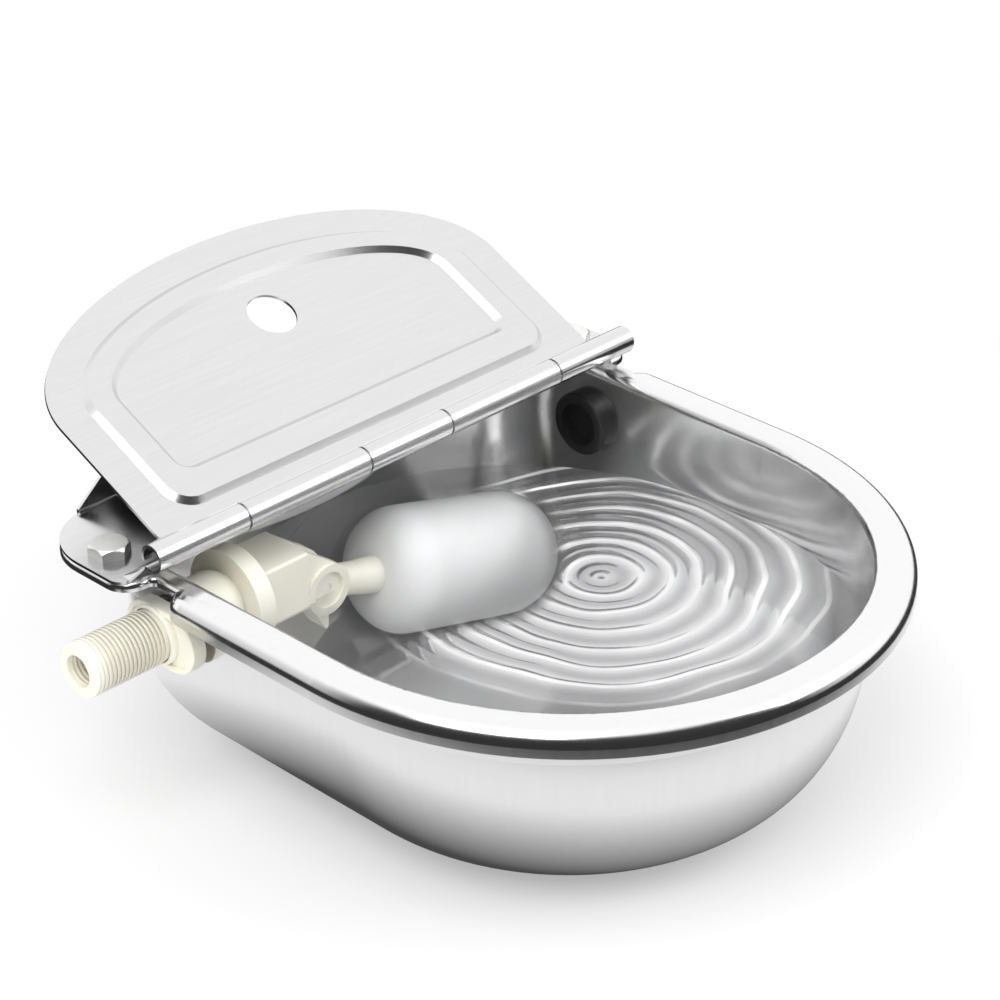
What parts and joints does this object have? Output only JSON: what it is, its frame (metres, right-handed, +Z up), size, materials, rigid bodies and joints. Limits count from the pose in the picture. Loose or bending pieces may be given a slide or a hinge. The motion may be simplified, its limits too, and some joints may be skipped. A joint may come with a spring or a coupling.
{
  "type": "livestock drinking bowl",
  "caption": "Round-fronted steel drinking bowl with a bolted hinge plate, a folding cover on a barrel hinge and a side-fed float valve that keeps it filled.",
  "frame": {"origin": "on the base plane, under the centre of the bowl's round front", "axes": "+Z up, +Y towards the wall it hangs on, -X towards the water supply"},
  "size_m": [0.2839, 0.3188, 0.1499],
  "materials": {
    "bowl": "satin pressed stainless",
    "hinge_plate": "satin stainless",
    "hinge_pin": "drawn stainless",
    "cover_plate": "satin pressed stainless",
    "zinc_fasteners": "dull galvanised",
    "valve_plastic": "moulded ivory plastic",
    "gasket_rubber": "soft black rubber",
    "inlet_strainer": "moulded plastic",
    "valve_seat": "turned brass",
    "plunger": "turned plastic",
    "plunger_seal": "moulded rubber",
    "float_lever": "moulded ivory plastic",
    "float": "matt blow-moulded plastic",
    "spare_hole_plug": "black moulded rubber"
  },
  "bodies": {
    "frame": {"bowl": "bowl", "hinge_plate": "hinge_plate", "hinge_pin": "hinge_pin", "ear_bolt_left": "zinc_fasteners", "ear_bolt_right": "zinc_fasteners", "ear_washer_left": "zinc_fasteners", "ear_washer_right": "zinc_fasteners", "ear_nut_left": "zinc_fasteners", "ear_nut_right": "zinc_fasteners", "lock_nut": "valve_plastic", "outer_gasket": "gasket_rubber", "inner_gasket": "gasket_rubber", "inlet_nipple": "valve_plastic", "inlet_strainer": "inlet_strainer", "valve_seat": "valve_seat", "valve_housing": "valve_plastic", "pivot_pin": "valve_plastic", "spare_hole_plug": "spare_hole_plug"},
    "cover": {"cover_plate": "cover_plate"},
    "lever": {"float_lever": "float_lever", "float": "float"},
    "plunger": {"plunger": "plunger", "plunger_seal": "plunger_seal"}
  },
  "joints": [
    {"name": "cover_hinge", "type": "hinge", "parent": "frame", "child": "cover", "pos_m": [0, 0.0832, 0.1029], "axis": [1, 0, 0], "range_deg": [0, 167]},
    {"name": "lever_pivot", "type": "hinge", "parent": "frame", "child": "lever", "pos_m": [-0.04357, 0.09, 0.0591], "axis": [0, -1, 0], "range_deg": [0, 15.8]},
    {"name": "plunger_slide", "type": "slide", "parent": "frame", "child": "plunger", "axis": [-1, 0, 0], "range_m": [0, 0.00232]}
  ],
  "couplings": [
    {"joint": "plunger_slide", "follows": "lever_pivot", "m_per_rad": 0.0084}
  ]
}
